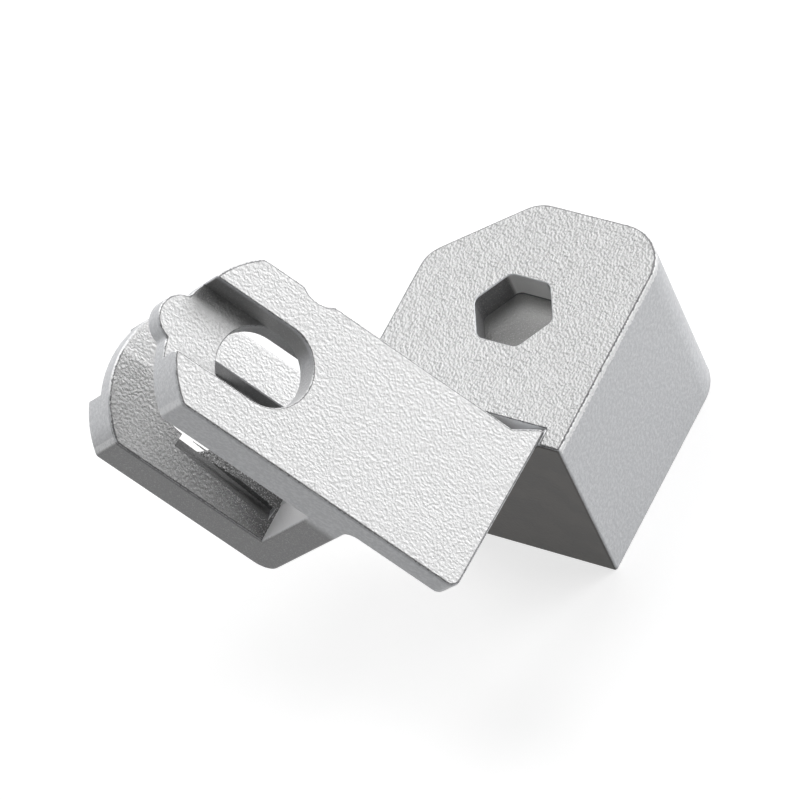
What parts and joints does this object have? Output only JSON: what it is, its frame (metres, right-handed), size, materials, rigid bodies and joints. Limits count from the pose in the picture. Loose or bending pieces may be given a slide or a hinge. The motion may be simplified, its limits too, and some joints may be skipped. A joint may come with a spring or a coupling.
{
  "type": "cable bracket",
  "caption": "Cast metal cable bracket: a flat plate runs at an angle from a thick block with a hexagon pocket to a slotted fork.",
  "frame": {"origin": "centre of the block's back face, the flat face opposite the hexagon pocket", "axes": "+X across the block towards the side the plate is joined on, +Y up along the block away from the fork, +Z out of the face with the hexagon pocket"},
  "size_m": [0.0769, 0.0764, 0.0831],
  "materials": {
    "cast_metal": "matt, fine grained as cast"
  },
  "bodies": {
    "root": {"cast_bracket": "cast_metal"}
  },
  "joints": []
}
